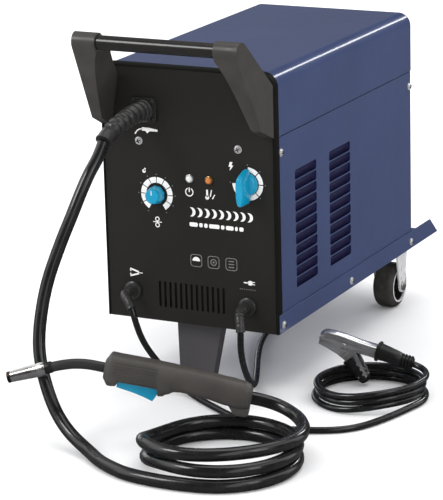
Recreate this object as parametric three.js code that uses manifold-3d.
// A gas-shielded wire welder on its own wheels: a sheet-metal cabinet with a lid, a bottle tray,
// a front foot and two castors, with its torch, earth clamp and mains lead laid out on the floor.
// Millimetres. +X is right seen from the front, +Y runs to the rear, +Z is up.
// The origin is on the floor, in the middle of the front foot's sole.
import * as THREE from 'three';
import { mergeVertices } from 'three/addons/utils/BufferGeometryUtils.js';
import Module from 'manifold-3d';

const wasm = await Module();
wasm.setup();

// ---------------------------------------------------------------- driving dimensions
const SHEET = 1.5;              // sheet metal of pan, panels and lid
const GAP = 0.3;                // clearance between pieces that touch
const HALF = 125;               // half the cabinet's width
const DEPTH = 452;              // front panel's face to the rear panel's back
const HEIGHT = 344;             // front panel
const SEAM = 260.5;             // height of the joint between side panels and lid
const CORNER = 18;              // radius of the cabinet's top edges
const FLANGE = 11.5;            // depth of the front panel's folded edge
const PAN_LENGTH = 547;
const PAN_FLANGE = 25.5;
const SEAT_RISE = 0.5;          // bottle's seat over the pan's floor
const CLEARANCE = 97;           // floor to the underside of the pan
const FOOT_SETBACK = 17;        // front panel's face to the middle of the foot's sole
const HOSE = 16.5;
const CABLE = 8.5;

const TORCH_EXIT = { x: -62, z: 285 };
const EARTH_EXIT = { x: -87, z: 38 };
const MAINS_EXIT = { x: 82.5, z: 34 };
const SPEED_DIAL = { x: -47, z: 173 };
const CURRENT_DIAL = { x: 86, z: 199 };
const LAMPS = { left: 2.2, right: 30.5, z: 198.7, radius: 4.5 };

const WHEEL = { x: 84.5, y: 466, z: -64, radius: 33, width: 31, rim: 24.8, bore: 4.3 };
const GRIP = { y: -74, z: 386.5, radius: 9.5, cap: 12.5 };
const KNOB_STANDOFF = 1.5;      // panel's face to the back of a knob

// ---------------------------------------------------------------- scene graph
const welder = new THREE.Group();
const cabinet = new THREE.Group();           // origin at the foot of the front panel's face
cabinet.position.set(0, -FOOT_SETBACK, CLEARANCE);
welder.add(cabinet);

const finish = (color, roughness, metalness) => ({ color, roughness, metalness });
const BLUE = finish(0x2f3d5f, 0.35, 0.2);
const BLACK_PAINT = finish(0x252521, 0.45, 0.1);
const BLACK_PLASTIC = finish(0x3a3836, 0.6, 0);
const RUBBER = finish(0x1c1b1a, 0.5, 0);
const STEEL = finish(0xc9c9c6, 0.3, 0.9);
const ZINC = finish(0xdedfdd, 0.35, 0.8);
const TEAL = finish(0x067fa8, 0.3, 0);
const COPPER = finish(0xa5623a, 0.35, 0.7);
const IRON = finish(0x55585a, 0.6, 0.6);
const PALE = finish(0xe4e2da, 0.5, 0);
const AMBER = finish(0xd97a2b, 0.25, 0);
const BRASS = finish(0xb5964a, 0.4, 0.8);

function add(parent, name, geometry, look) {
  const material = new THREE.MeshStandardMaterial(look);
  const mesh = new THREE.Mesh(geometry, material);
  mesh.name = name;
  parent.add(mesh);
  return mesh;
}

// ---------------------------------------------------------------- solids and booleans
function toSolid(geometry) {
  const bare = geometry.clone();
  bare.deleteAttribute('normal');
  bare.deleteAttribute('uv');
  const merged = mergeVertices(bare, 1e-4);
  return new wasm.Manifold(new wasm.Mesh({
    numProp: 3,
    vertProperties: new Float32Array(merged.attributes.position.array),
    triVerts: new Uint32Array(merged.index.array),
  }));
}

function toGeometry(solid) {
  const mesh = solid.getMesh();
  const geometry = new THREE.BufferGeometry();
  geometry.setAttribute('position', new THREE.BufferAttribute(mesh.vertProperties, 3));
  geometry.setIndex(new THREE.BufferAttribute(mesh.triVerts, 1));
  geometry.computeVertexNormals();
  return geometry;
}

function joined(...geometries) {
  return toGeometry(geometries.map(toSolid).reduce((a, b) => a.add(b)));
}

function cut(geometry, ...tools) {
  return toGeometry(tools.map(toSolid).reduce((a, b) => a.subtract(b), toSolid(geometry)));
}

function common(...geometries) {
  return toGeometry(geometries.map(toSolid).reduce((a, b) => a.intersect(b)));
}

function box(x0, x1, y0, y1, z0, z1) {
  const geometry = new THREE.BoxGeometry(x1 - x0, y1 - y0, z1 - z0);
  return geometry.translate((x0 + x1) / 2, (y0 + y1) / 2, (z0 + z1) / 2);
}

function outline(points) {
  return new THREE.Shape(points.map(([u, v]) => new THREE.Vector2(u, v)));
}

const PLAIN = { bevelEnabled: false, curveSegments: 6, steps: 1 };

// A shape drawn in (x, z), from y0 to y1.
function alongY(shape, y0, y1) {
  const geometry = new THREE.ExtrudeGeometry(shape, { ...PLAIN, depth: y1 - y0 });
  return geometry.rotateX(Math.PI / 2).translate(0, y1, 0);
}

// A shape drawn in (y, z), from x0 to x1.
function alongX(shape, x0, x1) {
  const geometry = new THREE.ExtrudeGeometry(shape, { ...PLAIN, depth: x1 - x0 });
  const turn = new THREE.Matrix4().makeBasis(
    new THREE.Vector3(0, 1, 0), new THREE.Vector3(0, 0, 1), new THREE.Vector3(1, 0, 0));
  return geometry.applyMatrix4(turn).translate(x0, 0, 0);
}

// A shape drawn in (x, y), from z0 to z1.
function alongZ(shape, z0, z1) {
  const geometry = new THREE.ExtrudeGeometry(shape, { ...PLAIN, depth: z1 - z0 });
  return geometry.translate(0, 0, z0);
}

function rodX(radius, x0, x1, y, z, sides = 14) {
  const geometry = new THREE.CylinderGeometry(radius, radius, x1 - x0, sides);
  return geometry.rotateZ(Math.PI / 2).translate((x0 + x1) / 2, y, z);
}

function rodY(radius, y0, y1, x, z, sides = 12) {
  const geometry = new THREE.CylinderGeometry(radius, radius, y1 - y0, sides);
  return geometry.translate(x, (y0 + y1) / 2, z);
}

function rodZ(radius, z0, z1, x, y, sides = 12) {
  const geometry = new THREE.CylinderGeometry(radius, radius, z1 - z0, sides);
  return geometry.rotateX(Math.PI / 2).translate(x, y, (z0 + z1) / 2);
}

// A profile of (radius, height) pairs turned about Z.
function lathe(profile, sides = 16) {
  const points = profile.map(([r, h]) => new THREE.Vector2(r, h));
  return new THREE.LatheGeometry(points, sides).rotateX(Math.PI / 2);
}

// A ring section of (radius, height) pairs, closed on itself, turned about Z.
function ring(profile, sides = 16) {
  return lathe([...profile, profile[0]], sides);
}

// A solid between two rectangles at different heights: each is [x0, x1, y0, y1].
function taperedBlock(low, zLow, high, zHigh) {
  const corner = ([x0, x1, y0, y1], z) => [[x0, y0, z], [x1, y0, z], [x1, y1, z], [x0, y1, z]];
  const points = [...corner(low, zLow), ...corner(high, zHigh)].flat();
  const faces = [0, 2, 1, 0, 3, 2, 4, 5, 6, 4, 6, 7];
  for (let i = 0; i < 4; i += 1) {
    const j = (i + 1) % 4;
    faces.push(i, j, j + 4, i, j + 4, i + 4);
  }
  const geometry = new THREE.BufferGeometry();
  geometry.setAttribute('position', new THREE.Float32BufferAttribute(points, 3));
  geometry.setIndex(faces);
  return geometry;
}

function vectors(points) {
  return points.map(([x, y, z]) => new THREE.Vector3(x, y, z));
}

// A round tube of the given diameter through the points.
function tube(points, diameter, steps, sides = 10) {
  const section = new THREE.Shape();
  for (let i = 0; i < sides; i += 1) {
    const angle = (2 * Math.PI * i) / sides;
    const u = (Math.cos(angle) * diameter) / 2;
    const v = (Math.sin(angle) * diameter) / 2;
    if (i === 0) section.moveTo(u, v);
    else section.lineTo(u, v);
  }
  const path = new THREE.CatmullRomCurve3(vectors(points), false, 'centripetal');
  return new THREE.ExtrudeGeometry(section, { steps, bevelEnabled: false, extrudePath: path });
}

// ---------------------------------------------------------------- cabinet shell
function panelShape(half, bottom, top, radius) {
  const shape = new THREE.Shape();
  shape.moveTo(-half, bottom);
  shape.lineTo(half, bottom);
  shape.lineTo(half, top - radius);
  shape.absarc(half - radius, top - radius, radius, 0, Math.PI / 2, false);
  shape.lineTo(-half + radius, top);
  shape.absarc(-half + radius, top - radius, radius, Math.PI / 2, Math.PI, false);
  shape.closePath();
  return shape;
}

// The pan that everything stands on: its side flanges end in a slant, and the floor behind the
// cabinet is the tray for a gas bottle, with a slightly raised seat.
function basePan() {
  const side = outline([
    [SHEET + GAP, 0], [PAN_LENGTH, 0], [PAN_LENGTH, SHEET],
    [PAN_LENGTH - 27, PAN_FLANGE], [SHEET + GAP, PAN_FLANGE]]);
  const outer = HALF + GAP + SHEET;
  const margin = 14;
  return joined(
    box(-outer, outer, SHEET + GAP, PAN_LENGTH, 0, SHEET),
    box(-HALF + margin, HALF - margin, DEPTH + margin, PAN_LENGTH - 8, SHEET / 2, SHEET + SEAT_RISE),
    alongX(side, -outer, -outer + SHEET),
    alongX(side, outer - SHEET, outer));
}

function frontPanel() {
  const shell = cut(
    alongY(panelShape(HALF, 0, HEIGHT, CORNER), 0, FLANGE),
    alongY(panelShape(HALF - SHEET, -10, HEIGHT - SHEET, CORNER - SHEET), SHEET, FLANGE + 10),
    box(-HALF - 5, HALF + 5, SHEET, FLANGE + 10, -5, SHEET + GAP));
  const holes = [
    rodY(12, -5, 5, TORCH_EXIT.x, TORCH_EXIT.z, 16),
    rodY(6.5, -5, 5, EARTH_EXIT.x, EARTH_EXIT.z),
    rodY(6.5, -5, 5, MAINS_EXIT.x, MAINS_EXIT.z),
    rodY(4.5, -5, 5, SPEED_DIAL.x, SPEED_DIAL.z),
    rodY(5.5, -5, 5, CURRENT_DIAL.x, CURRENT_DIAL.z),
    rodY(LAMPS.radius + GAP, -5, 5, LAMPS.left, LAMPS.z),
    rodY(LAMPS.radius + GAP, -5, 5, LAMPS.right, LAMPS.z)];
  const slots = 13;
  for (let i = 0; i < slots; i += 1) {
    const x = -47 + (94 * i) / (slots - 1);
    holes.push(box(x - 1.7, x + 1.7, -5, 5, 19.6, 54.7));
  }
  return cut(shell, ...holes);
}

function rearPanel() {
  const plate = box(-HALF + GAP, HALF - GAP, DEPTH - SHEET, DEPTH, SHEET + GAP, SEAM - GAP);
  const holes = [rodY(7, DEPTH - 5, DEPTH + 5, GAS.x, GAS.z)];
  for (let i = 0; i < 9; i += 1) {
    const z = FAN.z - 44 + 11 * i;
    const reach = Math.sqrt(50 ** 2 - (z - FAN.z) ** 2);
    holes.push(box(FAN.x - reach, FAN.x + reach, DEPTH - 5, DEPTH + 5, z - 2.5, z + 2.5));
  }
  return cut(plate, ...holes);
}

const LOUVRE = { columns: [[60, 127], [168, 237]], rows: 11, low: 48, pitch: 14.6, height: 12 };

function sidePanel(side) {
  const y0 = FLANGE + GAP;
  const y1 = DEPTH - SHEET - GAP;
  const inner = HALF - SHEET;
  const plate = joined(
    box(inner, HALF, y0, y1, SHEET + GAP, SEAM - 0.5),
    box(inner - 14, HALF, y0, y1, SEAM - 0.5 - SHEET, SEAM - 0.5));
  const holes = [];
  for (const [front, back] of LOUVRE.columns) {
    for (let row = 0; row < LOUVRE.rows; row += 1) {
      const z = LOUVRE.low + row * LOUVRE.pitch;
      holes.push(box(inner - 5, HALF + 5, front, back, z, z + LOUVRE.height));
    }
  }
  const panel = cut(plate, ...holes);
  if (side > 0) return panel;
  return toGeometry(toSolid(panel).mirror([1, 0, 0]));
}

function lid() {
  const y0 = FLANGE + GAP;
  const y1 = DEPTH + SHEET + GAP + SHEET;
  return cut(
    alongY(panelShape(HALF, SEAM + 0.5, HEIGHT, CORNER), y0, y1),
    alongY(panelShape(HALF - SHEET, SEAM - 10, HEIGHT - SHEET, CORNER - SHEET), y0 - 10, y1 - SHEET));
}

const HINGE = { x: -HALF - 4, z: SEAM, pin: 1.5, knuckle: 3.2, y0: 60, y1: 400, knuckles: 5 };

// One leaf of the long hinge; the two leaves take alternate knuckles.
function hingeLeaf(upper) {
  const pitch = (HINGE.y1 - HINGE.y0) / HINGE.knuckles;
  const plateX = [-HALF - GAP - SHEET, -HALF - GAP];
  const plateZ = upper ? [SEAM + 1, SEAM + 20] : [SEAM - 20, SEAM - 1];
  const pieces = [box(...plateX, HINGE.y0, HINGE.y1, ...plateZ)];
  const reliefs = [rodY(HINGE.pin + GAP, HINGE.y0 - 5, HINGE.y1 + 5, HINGE.x, HINGE.z)];
  for (let i = 0; i < HINGE.knuckles; i += 1) {
    const from = HINGE.y0 + i * pitch;
    if ((i % 2 === 1) === upper) {
      const bridge = upper ? [HINGE.z, SEAM + 3] : [SEAM - 3, HINGE.z];
      pieces.push(rodY(HINGE.knuckle, from, from + pitch, HINGE.x, HINGE.z));
      pieces.push(box(HINGE.x, plateX[1], from, from + pitch, ...bridge));
    } else {
      reliefs.push(rodY(HINGE.knuckle + 0.7, from - GAP, from + pitch + GAP, HINGE.x, HINGE.z));
    }
  }
  return cut(joined(...pieces), ...reliefs);
}

function partition() {
  const plate = outline([[16, 3], [446, 3], [446, 250], [200, 250], [188, 325], [16, 325]]);
  const shaftHole = rodX(5.3, -20, 20, FEED.y, FEED.rollerZ);
  const spindleHole = rodX(6.3, -20, 20, SPOOL.y, SPOOL.z);
  return cut(alongX(plate, PARTITION_X - SHEET, PARTITION_X), shaftHole, spindleHole);
}

// ---------------------------------------------------------------- handle, foot and castors
function handleBracket(side) {
  const silhouette = new THREE.Shape();
  const slope = Math.atan2(111, -55);
  silhouette.moveTo(-GAP, 262);
  silhouette.lineTo(-GAP, 330);
  silhouette.lineTo(GRIP.y + 8.4, GRIP.z + 9.3);
  silhouette.absarc(GRIP.y, GRIP.z, GRIP.cap, 0.83, slope + Math.PI / 2, false);
  silhouette.lineTo(-31, 277);
  silhouette.closePath();
  const front = new THREE.Shape();
  front.moveTo(108, 250);
  front.lineTo(140, 250);
  front.lineTo(140, 405);
  front.lineTo(84, 405);
  front.lineTo(84, 374);
  front.quadraticCurveTo(97, 352, 108, 276);
  front.closePath();
  const plan = outline([[70, -100], [114, -100], [117, -86], [HALF, -4], [HALF, 10], [70, 10]]);
  const body = common(alongX(silhouette, 80, 130), alongY(front, -100, 10), alongZ(plan, 240, 420));
  const socket = rodX(GRIP.radius + GAP, 70, 100, GRIP.y, GRIP.z, 20);
  const bracket = cut(body, socket);
  if (side > 0) return bracket;
  return toGeometry(toSolid(bracket).mirror([1, 0, 0]));
}

const FOOT = { top: [21, 38, 33.5], sole: [3, 31, 21.5], wall: 2.5 };

// A tapered channel, open to the rear, with a folded top plate and a folded sole.
function frontFoot() {
  const [topFront, topBack, topHalf] = FOOT.top;
  const [soleFront, , soleHalf] = FOOT.sole;
  const t = FOOT.wall;
  const outer = taperedBlock(
    [-soleHalf, soleHalf, soleFront, soleFront + 14], -CLEARANCE,
    [-topHalf, topHalf, topFront, topBack], -GAP);
  const hollow = taperedBlock(
    [-soleHalf + t, soleHalf - t, soleFront + t, 80], -CLEARANCE - 5,
    [-topHalf + t, topHalf - t, topFront + t, 80], 5);
  return joined(
    cut(outer, hollow),
    box(-topHalf + 1, topHalf - 1, topFront + 1, 66, -GAP - t, -GAP),
    box(-soleHalf, soleHalf, FOOT.sole[0], FOOT.sole[1], -CLEARANCE, -CLEARANCE + t));
}

function castorFork(side) {
  const x = side * WHEEL.x;
  const plate = box(x - 25, x + 25, WHEEL.y - 26, WHEEL.y + 26, -3, -GAP);
  const leg = new THREE.Shape();
  leg.moveTo(WHEEL.y - 21, -1);
  leg.lineTo(WHEEL.y - 9.5, WHEEL.z);
  leg.absarc(WHEEL.y, WHEEL.z, 9.5, Math.PI, 2 * Math.PI, false);
  leg.lineTo(WHEEL.y + 21, -1);
  leg.closePath();
  const reach = WHEEL.width / 2 + 2;
  const body = joined(
    plate,
    alongX(leg, x - reach - 2.5, x - reach),
    alongX(leg, x + reach, x + reach + 2.5));
  return cut(body, rodX(WHEEL.bore, x - 40, x + 40, WHEEL.y, WHEEL.z));
}

function castorAxle(side) {
  const x = side * WHEEL.x;
  const reach = WHEEL.width / 2 + 4.5 + GAP;
  return joined(
    rodX(4, x - reach - 2, x + reach + 2, WHEEL.y, WHEEL.z),
    rodX(7, x - reach - 5, x - reach, WHEEL.y, WHEEL.z, 6),
    rodX(7, x + reach, x + reach + 5, WHEEL.y, WHEEL.z, 6));
}

function onWheelAxis(geometry, side) {
  return geometry.rotateY(Math.PI / 2).translate(side * WHEEL.x, WHEEL.y, WHEEL.z);
}

function tyre() {
  const h = WHEEL.width / 2;
  const R = WHEEL.radius;
  const r = WHEEL.rim + GAP;
  return ring([
    [r, -h], [R - 4, -h], [R - 1, -h + 3], [R, -h + 8],
    [R, h - 8], [R - 1, h - 3], [R - 4, h], [r, h]], 24);
}

function rim() {
  const h = WHEEL.width / 2;
  const R = WHEEL.rim;
  const b = WHEEL.bore;
  return ring([
    [b, -h - 1], [9, -h - 1], [9, -3], [R - 3, -3], [R - 3, -h], [R, -h],
    [R, h], [R - 3, h], [R - 3, 3], [9, 3], [9, h + 1], [b, h + 1]], 24);
}

// ---------------------------------------------------------------- front panel fittings
function lamp() {
  const r = LAMPS.radius;
  return lathe([[0, -14], [3.6, -14], [3.6, 1.6], [r, 1.6], [r, 3], [r - 0.9, 4.6], [0, 5.4]], 12)
    .rotateX(Math.PI / 2);
}

// The speed knob: a tapered cap with a dished face and a shallow pointer groove.
function speedKnob() {
  const cap = lathe([[0, 0], [12.6, 0], [12.6, 2], [9.2, 14], [8, 15.5], [0, 15.5]], 18);
  const groove = box(-0.8, 0.8, 2, 14, 14.5, 20);
  const bore = rodZ(3.3, -5, 10, 0, 0);
  return cut(cap, groove, bore).rotateX(Math.PI / 2);
}

// The current knob: a round base with a raised grip bar that reaches past it as the pointer.
function currentKnob() {
  const base = lathe([[0, 0], [15.5, 0], [15.5, 3], [14, 8], [0, 8]], 18);
  const grip = new THREE.Shape();
  grip.moveTo(-4.5, 16);
  grip.quadraticCurveTo(-6, 0, -5, -15);
  grip.quadraticCurveTo(-4, -24, 0, -26);
  grip.quadraticCurveTo(4, -24, 5, -15);
  grip.quadraticCurveTo(6, 0, 4.5, 16);
  grip.closePath();
  const bar = alongZ(grip, 0, 27);
  return cut(joined(base, bar), rodZ(4.3, -5, 14, 0, 0)).rotateX(Math.PI / 2);
}

// A control behind the panel: its body, the threaded neck and the shaft that carries the knob.
function control(size, depth, neck, shaft, reach) {
  return joined(
    box(-size / 2, size / 2, SHEET + GAP, SHEET + GAP + depth, -size / 2, size / 2),
    rodY(neck, -1, SHEET + 2, 0, 0),
    rodY(shaft, -reach, 0, 0, 0));
}

const BOOT_PATH = [
  [-62, -3, 285], [-62, -22, 285], [-62.5, -44, 283.5], [-64, -64, 279.5], [-66, -82, 273],
  [-67.4, -91, 268.5], [-68, -98, 263.5]];

// The torch gland: a flange on the panel and a ribbed boot that droops with the hose.
function torchGland() {
  const flange = lathe([[0, -6], [11.5, -6], [11.5, GAP], [16, GAP], [16, 5], [14, 8], [0, 8]], 16)
    .rotateX(Math.PI / 2).translate(TORCH_EXIT.x, 0, TORCH_EXIT.z);
  const boot = new THREE.CatmullRomCurve3(vectors(BOOT_PATH), false, 'centripetal');
  const pieces = [flange];
  const ribs = 7;
  const upright = new THREE.Vector3(0, 1, 0);
  for (let i = 0; i < ribs; i += 1) {
    const t = 0.1 + (0.66 * i) / (ribs - 1);
    const radius = 14 - 0.42 * i;
    const rib = new THREE.CylinderGeometry(radius, radius, 5.5, 12);
    rib.applyQuaternion(new THREE.Quaternion().setFromUnitVectors(upright, boot.getTangentAt(t)));
    const at = boot.getPointAt(t);
    pieces.push(rib.translate(at.x, at.y, at.z));
  }
  pieces.push(tube(BOOT_PATH, 21.5, 6, 10));
  return joined(...pieces);
}

// A cable's gland: a bushing on the panel, and a sleeve bent down over the cable's first points.
const SLEEVE = 12.5;
const SLEEVE_POINTS = 5;

function cableGland(exit, route) {
  const [x, y, z] = [exit.x, -FOOT_SETBACK, exit.z + CLEARANCE];
  const bushing = lathe([[0, -7], [6, -7], [6, GAP], [12, GAP], [12, 4], [9, 7], [0, 7]], 14)
    .rotateX(Math.PI / 2).translate(x, y, z);
  return joined(bushing, tube([[x, y - 5, z], ...route.slice(0, SLEEVE_POINTS)], SLEEVE, 8, 10));
}

// A cable from the end of its sleeve to the coil that it runs into.
function cable(route, gland, coilHeld, steps) {
  const length = tube(route.slice(SLEEVE_POINTS - 1), CABLE, steps, 8);
  return cut(length, gland, coilSpace(coilHeld));
}

// ---------------------------------------------------------------- inside the cabinet
const PARTITION_X = -5;
const FEED = { x: -62, y: 112, rollerZ: 269.5, rollerR: 15, pressR: 11, wireZ: 285 };
const ARM_PIVOT = -26;          // pressure arm's pivot, along Y from the rollers
const SPOOL = {
  x: -60, y: 305, z: 222, radius: 100, width: 55, hub: 25, pin: 6, drum: 32, wound: 88,
};
const FAN = { x: 62, y: 400, z: 110 };
const GAS = { x: -60, z: 60 };
const TRAFO = { x: 60, y: 215, z: 62 };

function transformerCore() {
  const { x, y } = TRAFO;
  return cut(
    box(x - 50, x + 50, y - 32, y + 32, SHEET + GAP, 120),
    box(x - 30, x - 10, y - 40, y + 40, 20, 100),
    box(x + 10, x + 30, y - 40, y + 40, 20, 100));
}

function transformerWinding() {
  const { x, y } = TRAFO;
  return cut(
    box(x - 29, x + 29, y - 51, y + 51, 21, 99),
    box(x - 11, x + 11, y - 33, y + 33, 0, 150));
}

function rectifier() {
  const base = SHEET + GAP;
  const pieces = [box(30, 110, 286, 290, base, 90)];
  for (let i = 0; i < 6; i += 1) {
    pieces.push(box(34 + 14 * i, 36 + 14 * i, 289, 325, base, 90));
  }
  return joined(...pieces);
}

function fanMotor() {
  const spider = box(FAN.x - 58, FAN.x + 58, FAN.y + 8, FAN.y + 11, FAN.z - 6, FAN.z + 6);
  const post = box(FAN.x - 6, FAN.x + 6, FAN.y + 8, FAN.y + 11, SHEET + GAP, FAN.z + 50);
  return joined(rodY(22, FAN.y - 30, FAN.y + 8.5, FAN.x, FAN.z), spider, post,
    rodY(2.5, FAN.y + 8, FAN.y + 26, FAN.x, FAN.z, 10));
}

function fanRotor() {
  const hub = cut(
    rodY(14, FAN.y + 14, FAN.y + 30, FAN.x, FAN.z),
    rodY(2.8, FAN.y, FAN.y + 27, FAN.x, FAN.z, 10));
  const pieces = [hub];
  for (let i = 0; i < 7; i += 1) {
    const blade = new THREE.BoxGeometry(34, 2, 24);
    blade.rotateX(0.5).translate(30, 0, 0).rotateY((2 * Math.PI * i) / 7);
    pieces.push(blade.translate(FAN.x, FAN.y + 22, FAN.z));
  }
  return joined(...pieces);
}

function feedMotor() {
  return joined(
    rodX(19, PARTITION_X + 24, PARTITION_X + 84, FEED.y, FEED.rollerZ),
    box(PARTITION_X + GAP, PARTITION_X + 25, FEED.y - 24, FEED.y + 24,
      FEED.rollerZ - 24, FEED.rollerZ + 24),
    rodX(5, -74, PARTITION_X + 1, FEED.y, FEED.rollerZ));
}

function feedPlate() {
  const x1 = PARTITION_X - SHEET - GAP;
  const plate = box(x1 - 5, x1, FEED.y - 55, FEED.y + 50, FEED.rollerZ - 30, FEED.wireZ + 28);
  const guideIn = box(-67, x1 - 4, FEED.y + 24, FEED.y + 44, FEED.wireZ - 5, FEED.wireZ + 5);
  const guideOut = box(-67, x1 - 4, FEED.y - 52, FEED.y - 30, FEED.wireZ - 5, FEED.wireZ + 5);
  const wireWay = rodY(1.6, 0, 300, FEED.x, FEED.wireZ, 8);
  const stud = rodX(3, x1 - 15, x1 - 4, FEED.y + ARM_PIVOT, FEED.wireZ + FEED.pressR + 0.6, 12);
  return cut(joined(plate, guideIn, guideOut, stud), wireWay,
    rodX(5.3, -40, 20, FEED.y, FEED.rollerZ));
}

function pressureArm() {
  const x1 = PARTITION_X - SHEET - GAP - 5 - GAP;
  const top = FEED.wireZ + FEED.pressR + 0.6;
  const half = 6;
  const bar = new THREE.Shape();
  bar.moveTo(FEED.y + 20, top + half);
  bar.lineTo(FEED.y + ARM_PIVOT, top + half);
  bar.absarc(FEED.y + ARM_PIVOT, top, half, Math.PI / 2, 1.5 * Math.PI, false);
  bar.lineTo(FEED.y + 20, top - half);
  bar.closePath();
  return cut(
    joined(alongX(bar, x1 - 8, x1), rodX(3, -70, x1 - 7, FEED.y, top, 12)),
    rodX(3.3, -40, 0, FEED.y + ARM_PIVOT, top, 12));
}

function pressureRoller() {
  const z = FEED.wireZ + FEED.pressR + 0.6;
  return cut(
    rodX(FEED.pressR, FEED.x - 6, FEED.x + 6, FEED.y, z, 20),
    rodX(3.3, -90, 20, FEED.y, z, 12));
}

function driveRoller() {
  return cut(rodX(FEED.rollerR, FEED.x - 6, FEED.x + 6, FEED.y, FEED.rollerZ, 20),
    rodX(5.3, -90, 20, FEED.y, FEED.rollerZ));
}

// The spool's hub on its spindle, with the retaining disc in front.
function spoolSpindle() {
  const end = SPOOL.x - SPOOL.width / 2;
  return joined(
    rodX(SPOOL.pin, end - 6, PARTITION_X + 8, SPOOL.y, SPOOL.z),
    rodX(SPOOL.hub, end + GAP, SPOOL.x + SPOOL.width / 2 - GAP, SPOOL.y, SPOOL.z, 20),
    rodX(12, PARTITION_X + GAP, PARTITION_X + 4, SPOOL.y, SPOOL.z),
    rodX(15, end - 11, end - 5, SPOOL.y, SPOOL.z));
}

function wireSpool() {
  const h = SPOOL.width / 2;
  const b = SPOOL.hub + GAP;
  const flange = 4;
  return ring([
    [b, -h], [SPOOL.radius, -h], [SPOOL.radius, -h + flange], [SPOOL.drum, -h + flange],
    [SPOOL.drum, h - flange], [SPOOL.radius, h - flange], [SPOOL.radius, h], [b, h]], 24)
    .rotateY(Math.PI / 2).translate(SPOOL.x, SPOOL.y, SPOOL.z);
}

function wireWinding() {
  const h = SPOOL.width / 2 - 4 - GAP;
  const r = SPOOL.drum + GAP;
  return ring([[r, -h], [SPOOL.wound, -h], [SPOOL.wound, h], [r, h]], 24)
    .rotateY(Math.PI / 2).translate(SPOOL.x, SPOOL.y, SPOOL.z);
}

function gasValve() {
  return joined(
    box(GAS.x - 16, GAS.x + 16, DEPTH - 60, DEPTH - 18, GAS.z - 14, GAS.z + 14),
    rodY(6.5, DEPTH - 19, DEPTH + 8, GAS.x, GAS.z),
    rodY(4, DEPTH + 7, DEPTH + 26, GAS.x, GAS.z, 12),
    box(GAS.x - 16, GAS.x + 16, DEPTH - 60, DEPTH - 18, SHEET + GAP, GAS.z - 13));
}

// ---------------------------------------------------------------- torch
// Torch frame: origin in the middle of the handle's rear end, +X to the nozzle, the trigger at -Z.
const TORCH = { at: [149, -156, 59.3], nose: [-13, -223, 93.7], width: 32 };

function torchFrame() {
  const group = new THREE.Group();
  const origin = new THREE.Vector3(...TORCH.at);
  const forward = new THREE.Vector3(...TORCH.nose).sub(origin).normalize();
  const side = new THREE.Vector3(0, 0, 1).cross(forward).normalize();
  const up = forward.clone().cross(side);
  group.quaternion.setFromRotationMatrix(new THREE.Matrix4().makeBasis(forward, side, up));
  group.position.copy(origin);
  return group;
}

function torchHandle() {
  const side = new THREE.Shape();
  side.moveTo(0, 17.5);
  side.quadraticCurveTo(60, 25.5, 178, 25);
  side.lineTo(184, 12);
  side.lineTo(184, -4);
  side.quadraticCurveTo(181, -17, 172, -20);
  side.lineTo(166, -20);
  side.lineTo(166, -13.5);
  side.lineTo(112, -13.5);
  side.lineTo(112, -19.5);
  side.quadraticCurveTo(100, -9, 86, -9.5);
  side.quadraticCurveTo(55, -11, 22, -16);
  side.lineTo(9, -25);
  side.lineTo(-1, -26);
  side.lineTo(-6, -16);
  side.closePath();
  const cross = new THREE.Shape();
  cross.absellipse(0, 1, TORCH.width / 2, 30, 0, 2 * Math.PI, false, 0);
  const body = new THREE.ExtrudeGeometry(side, { ...PLAIN, curveSegments: 5, depth: 60 });
  body.rotateX(Math.PI / 2).translate(0, 30, 0);
  const barrel = new THREE.ExtrudeGeometry(cross, { ...PLAIN, curveSegments: 8, depth: 240 });
  const turn = new THREE.Matrix4().makeBasis(
    new THREE.Vector3(0, 1, 0), new THREE.Vector3(0, 0, 1), new THREE.Vector3(1, 0, 0));
  barrel.applyMatrix4(turn).translate(-20, 0, 0);
  const slot = box(110, 167, -5.8, 5.8, -40, 3);
  const neckHole = rodX(7 + GAP, 160, 200, 0, 3.6);
  return cut(common(body, barrel), slot, neckHole);
}

function torchTrigger() {
  const side = new THREE.Shape();
  side.moveTo(165.5, -6);
  side.lineTo(112, -6);
  side.lineTo(112, -14);
  side.lineTo(118, -27);
  side.quadraticCurveTo(138, -20, 165.5, -17);
  side.closePath();
  const body = new THREE.ExtrudeGeometry(side, { ...PLAIN, depth: 10.8 });
  return body.rotateX(Math.PI / 2).translate(0, 5.4, 0);
}

const NECK_PATH = [
  [170, 0, 3.6], [186, 0, 4.2], [202, 0, 5], [219, 0, 3], [235, 0, -1.4], [250, 0, -7.8],
  [267, 0, -15.7]];
const NOZZLE_TILT = 0.435;       // the nozzle's axis below the handle's, in radians
const NOZZLE_ROOT = [256.9, 0, -11];

function swanNeck() {
  return tube(NECK_PATH, 13, 10, 10);
}

function gasNozzle() {
  const shell = ring([[7.6, 0], [9.2, 0], [9.2, 12], [6.6, 50], [5.4, 50], [5.4, 46], [7.6, 14]], 16);
  return shell.rotateY(Math.PI / 2 + NOZZLE_TILT).translate(...NOZZLE_ROOT);
}

// ---------------------------------------------------------------- earth clamp
// Clamp frame: origin at the pivot, +X to the grips, +Z up, the jaws at -X.
const CLAMP = { tip: [136, 93, 64], grip: [262, 108, 36], pivot: 34 };

function clampFrame() {
  const group = new THREE.Group();
  const tip = new THREE.Vector3(...CLAMP.tip);
  const along = new THREE.Vector3(...CLAMP.grip).sub(tip).normalize();
  const across = new THREE.Vector3(0, 0, 1).cross(along).normalize();
  const up = along.clone().cross(across);
  group.quaternion.setFromRotationMatrix(new THREE.Matrix4().makeBasis(along, across, up));
  group.position.copy(tip).addScaledVector(along, CLAMP.pivot);
  return group;
}

const CLAMP_SHEET = 2;

// A folded channel: the outline's outer strip is the web, and its sides stand `inner` to `outer`
// off the middle.
function channel(points, inner, outer, webShift) {
  const profile = outline(points);
  const body = alongY(profile, -outer, outer);
  const hollow = alongY(profile, -inner, inner).translate(0, 0, webShift);
  return cut(body, hollow);
}

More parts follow.
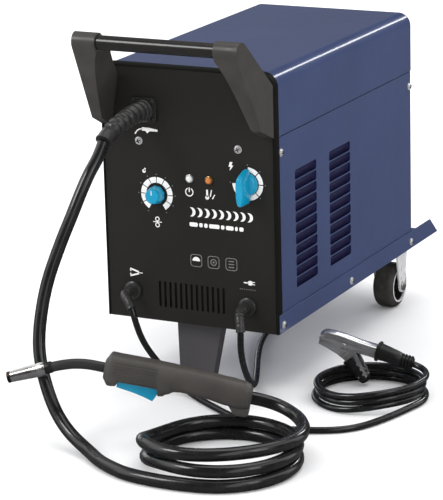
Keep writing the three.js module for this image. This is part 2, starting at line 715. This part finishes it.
// The upper arm: a channel that opens downwards, with the pivot pin and the plastic grip.
function clampUpperArm() {
  const arm = channel([
    [-34, GAP], [-14, GAP], [-8, -6], [8, -6], [20, -4], [49, -4], [49, 11], [20, 11.5], [-20, 12.5],
    [-34, 8]],
  8, 10, -CLAMP_SHEET);
  const grip = alongY(outline([[46, -6], [92, -6], [96, -4], [96, 5], [92, 8], [46, 14]]), -10.5, 10.5);
  return joined(arm, grip, rodY(2.5, -9, 9, 0, 0, 12));
}

// The lower arm: a narrower channel that opens upwards and turns on the upper arm's pin.
function clampLowerArm() {
  const arm = channel([
    [-34, -8], [-20, -11], [-6, -15], [14, -24], [32, -42], [40, -33], [22, -11], [8, 6], [-8, 6],
    [-14, -GAP], [-34, -GAP]],
  5.3, 7.6, CLAMP_SHEET + 1);
  return cut(arm, rodY(2.8, -20, 20, 0, 0, 12));
}

// ---------------------------------------------------------------- cords and hoses, as they lie on the floor
const HOSE_COIL = { x: 154, y: -245, inner: 78, outer: 110, height: 2 * HOSE };
const EARTH_COIL = { x: 221, y: 59, inner: 63.5, outer: 78, height: 3 * CABLE };
const MAINS_COIL = { x: -75, y: 543, inner: 38.5, outer: 56, height: 2 * CABLE };

const HOSE_ROUTE = [
  [-68, -116.4, 358.8], [-68.4, -127, 346], [-71, -138, 335], [-74, -148, 324], [-79, -163, 301],
  [-84.5, -175, 277], [-92, -185, 253], [-99, -194, 228], [-105, -203, 204], [-109, -211, 179],
  [-111, -218, 154], [-111, -225, 130], [-107, -233, 106], [-95, -243, 78], [-79, -253, 51],
  [-63, -261, 34], [-42, -270, 19], [-9, -286, 9.5], [15.5, -307, 8.3], [36, -319, 8.3],
  [51.5, -327, 8.3], [65.5, -333, 8.3], [78.5, -336, 8.3], [96, -339, 8.3]];
const HOSE_TAIL = [
  [64, -275, 41.6], [69, -292, 41.6], [81, -308, 41.6], [99, -320, 41.6], [122, -327, 41.6],
  [146, -328, 41.6], [171, -321, 41.6], [194, -308, 41.6], [216, -290, 41.6], [234, -268, 41.6],
  [245, -245, 41.6], [249, -222, 41.6], [245, -200, 41.6], [236, -181, 42], [224, -165, 43.5],
  [208, -153, 46], [190, -147, 50], [172, -148, 54.5], [157, -152.8, 57.8]];
const EARTH_ROUTE = [
  [-87, -34, 135], [-86.6, -41, 135], [-81, -50, 134.5], [-73, -57, 131], [-66.5, -61, 123],
  [-62.5, -62, 112], [-60, -60, 99], [-57, -57, 86], [-53, -52, 72], [-47, -46, 58],
  [-39, -39, 43], [-29, -33, 29], [-18, -29, 17], [-6, -29, 8.5], [8, -35, 4.6], [31, -51, 4.5],
  [59, -69, 4.5], [87, -87, 4.5], [120, -105, 4.5], [160, -112, 4.5], [204, -100, 4.5],
  [231, -89, 4.5], [249, -76, 4.5], [263, -57, 4.5], [272, -34, 4.5], [281, -8, 4.5],
  [288, 16, 4.5]];
const EARTH_TAIL = [
  [280, 19, 30.1], [287, 38, 30.1], [292, 58, 30.1], [292.5, 76, 30.2], [288.5, 91, 30.8],
  [281, 102, 32], [272, 108, 33.7], [262.6, 108.1, 35.8]];
const MAINS_ROUTE = [
  [82.5, -34, 131], [83.2, -42, 130.7], [87, -52, 127], [91, -59, 120], [93, -62, 110],
  [92, -61, 98], [89, -55, 84], [85, -44, 68], [81, -30, 50], [77, -14, 33], [73, 3, 18],
  [68, 22, 8], [61, 42, 4.6], [51, 66, 4.5], [38, 95, 4.5], [12, 151, 4.5], [-10, 205, 4.5],
  [-25, 260, 4.5], [-35, 320, 4.5], [-40, 380, 4.5], [-38, 440, 4.5], [-33, 480, 4.5],
  [-29, 510, 4.5]];
const MAINS_END = [
  [-112, 581, 13.2], [-123, 573, 13.6], [-134, 561, 14.2], [-142, 550, 14.8], [-147.5, 538, 15.3],
  [-149, 529, 15.5]];
const PLUG = { x: -149, z: 15.5, relief: 530, back: 498, face: 455, tips: 436, pinSpacing: 19 };

// The closed outer shape of a coil: one ring that holds all of its turns.
function coil({ x, y, inner, outer, height }) {
  return ring([[inner, 0], [outer, 0], [outer, height], [inner, height]], 28).translate(x, y, 0);
}

// The space that a coil takes, for trimming the cord that runs into it.
function coilSpace({ x, y, outer, height }) {
  return rodZ(outer + GAP, -1, height + GAP, x, y, 28);
}

function mainsPlug() {
  const relief = new THREE.CylinderGeometry(7.5, 4.8, PLUG.relief - PLUG.back + 1, 12);
  relief.rotateX(Math.PI).translate(PLUG.x, (PLUG.relief + PLUG.back - 1) / 2, PLUG.z);
  const body = outline([
    [-11, PLUG.back], [-19, PLUG.back - 12], [-19, PLUG.face], [19, PLUG.face], [19, PLUG.back - 12],
    [11, PLUG.back]]);
  const half = PLUG.z - GAP;
  const lead = cut(tube(MAINS_END, CABLE, 10, 8), coilSpace(MAINS_COIL));
  const pins = [-1, 1].map((side) => {
    const x = PLUG.x + (side * PLUG.pinSpacing) / 2;
    return rodY(2.4, PLUG.tips, PLUG.face + 1, x, PLUG.z, 10);
  });
  return joined(
    alongZ(body, PLUG.z - half, PLUG.z + half).translate(PLUG.x, 0, 0),
    relief, lead, ...pins);
}

// ---------------------------------------------------------------- assembly
add(cabinet, 'base_pan', basePan(), BLUE);
add(cabinet, 'front_panel', frontPanel(), BLACK_PAINT);
add(cabinet, 'rear_panel', rearPanel(), BLACK_PAINT);
add(cabinet, 'side_panel_right', sidePanel(1), BLUE);
add(cabinet, 'side_panel_left', sidePanel(-1), BLUE);
add(cabinet, 'partition', partition(), STEEL);
add(cabinet, 'lid', lid(), BLUE);
add(cabinet, 'hinge_leaf_fixed', hingeLeaf(false), STEEL);
add(cabinet, 'hinge_leaf_lid', hingeLeaf(true), STEEL);
add(cabinet, 'hinge_pin', rodY(HINGE.pin, HINGE.y0 - 4, HINGE.y1 + 4, HINGE.x, HINGE.z, 12), STEEL);
add(cabinet, 'handle_tube', rodX(GRIP.radius, -98, 98, GRIP.y, GRIP.z, 20), BLACK_PLASTIC);
add(cabinet, 'front_foot', frontFoot(), BLACK_PAINT);
for (const [name, side] of [['left', -1], ['right', 1]]) {
  add(cabinet, `handle_bracket_${name}`, handleBracket(side), BLACK_PLASTIC);
  add(cabinet, `castor_fork_${name}`, castorFork(side), ZINC);
  add(cabinet, `castor_axle_${name}`, castorAxle(side), STEEL);
  add(cabinet, `rim_${name}`, onWheelAxis(rim(), side), ZINC);
  add(cabinet, `tyre_${name}`, onWheelAxis(tyre(), side), RUBBER);
}

add(cabinet, 'power_lamp', lamp(), PALE).position.set(LAMPS.left, 0, LAMPS.z);
add(cabinet, 'overheat_lamp', lamp(), AMBER).position.set(LAMPS.right, 0, LAMPS.z);
add(cabinet, 'speed_knob', speedKnob(), TEAL).position.set(SPEED_DIAL.x, -KNOB_STANDOFF, SPEED_DIAL.z);
add(cabinet, 'speed_potentiometer', control(22, 14, 4.2, 3, KNOB_STANDOFF + 9.5), STEEL)
  .position.set(SPEED_DIAL.x, 0, SPEED_DIAL.z);
add(cabinet, 'current_knob', currentKnob(), TEAL)
  .position.set(CURRENT_DIAL.x, -KNOB_STANDOFF, CURRENT_DIAL.z);
add(cabinet, 'current_switch', control(36, 30, 5.2, 4, KNOB_STANDOFF + 13.5), BLACK_PLASTIC)
  .position.set(CURRENT_DIAL.x, 0, CURRENT_DIAL.z);
add(cabinet, 'torch_gland', torchGland(), RUBBER);

add(cabinet, 'transformer_core', transformerCore(), IRON);
add(cabinet, 'transformer_winding', transformerWinding(), COPPER);
add(cabinet, 'rectifier', rectifier(), STEEL);
add(cabinet, 'fan_motor', fanMotor(), IRON);
add(cabinet, 'fan_rotor', fanRotor(), BLACK_PLASTIC);
add(cabinet, 'feed_motor', feedMotor(), IRON);
add(cabinet, 'feed_plate', feedPlate(), BLACK_PLASTIC);
add(cabinet, 'drive_roller', driveRoller(), STEEL);
add(cabinet, 'pressure_arm', pressureArm(), BLACK_PLASTIC);
add(cabinet, 'pressure_roller', pressureRoller(), STEEL);
add(cabinet, 'spool_spindle', spoolSpindle(), BLACK_PLASTIC);
add(cabinet, 'wire_spool', wireSpool(), BLACK_PLASTIC);
add(cabinet, 'wire_winding', wireWinding(), COPPER);
add(cabinet, 'gas_valve', gasValve(), BRASS);

const torch = torchFrame();
welder.add(torch);
add(torch, 'torch_handle', torchHandle(), BLACK_PLASTIC);
add(torch, 'torch_trigger', torchTrigger(), TEAL);
add(torch, 'swan_neck', swanNeck(), BLACK_PLASTIC);
add(torch, 'gas_nozzle', gasNozzle(), STEEL);

const clamp = clampFrame();
welder.add(clamp);
add(clamp, 'clamp_upper_arm', clampUpperArm(), STEEL);
add(clamp, 'clamp_lower_arm', clampLowerArm(), STEEL);

const earthGland = cableGland(EARTH_EXIT, EARTH_ROUTE);
const mainsGland = cableGland(MAINS_EXIT, MAINS_ROUTE);
add(welder, 'torch_hose', cut(tube(HOSE_ROUTE, HOSE, 26, 8), coilSpace(HOSE_COIL)), RUBBER);
add(welder, 'torch_hose_coil', coil(HOSE_COIL), RUBBER);
add(welder, 'torch_hose_tail', tube(HOSE_TAIL, HOSE, 18, 8), RUBBER);
add(welder, 'earth_gland', earthGland, RUBBER);
add(welder, 'earth_cable', cable(EARTH_ROUTE, earthGland, EARTH_COIL, 28), RUBBER);
add(welder, 'earth_cable_coil', coil(EARTH_COIL), RUBBER);
add(welder, 'earth_cable_tail', tube(EARTH_TAIL, CABLE, 8, 8), RUBBER);
add(welder, 'mains_gland', mainsGland, RUBBER);
add(welder, 'mains_cable', cable(MAINS_ROUTE, mainsGland, MAINS_COIL, 30), RUBBER);
add(welder, 'mains_cable_coil', coil(MAINS_COIL), RUBBER);
add(welder, 'mains_plug', mainsPlug(), RUBBER);

export default welder;
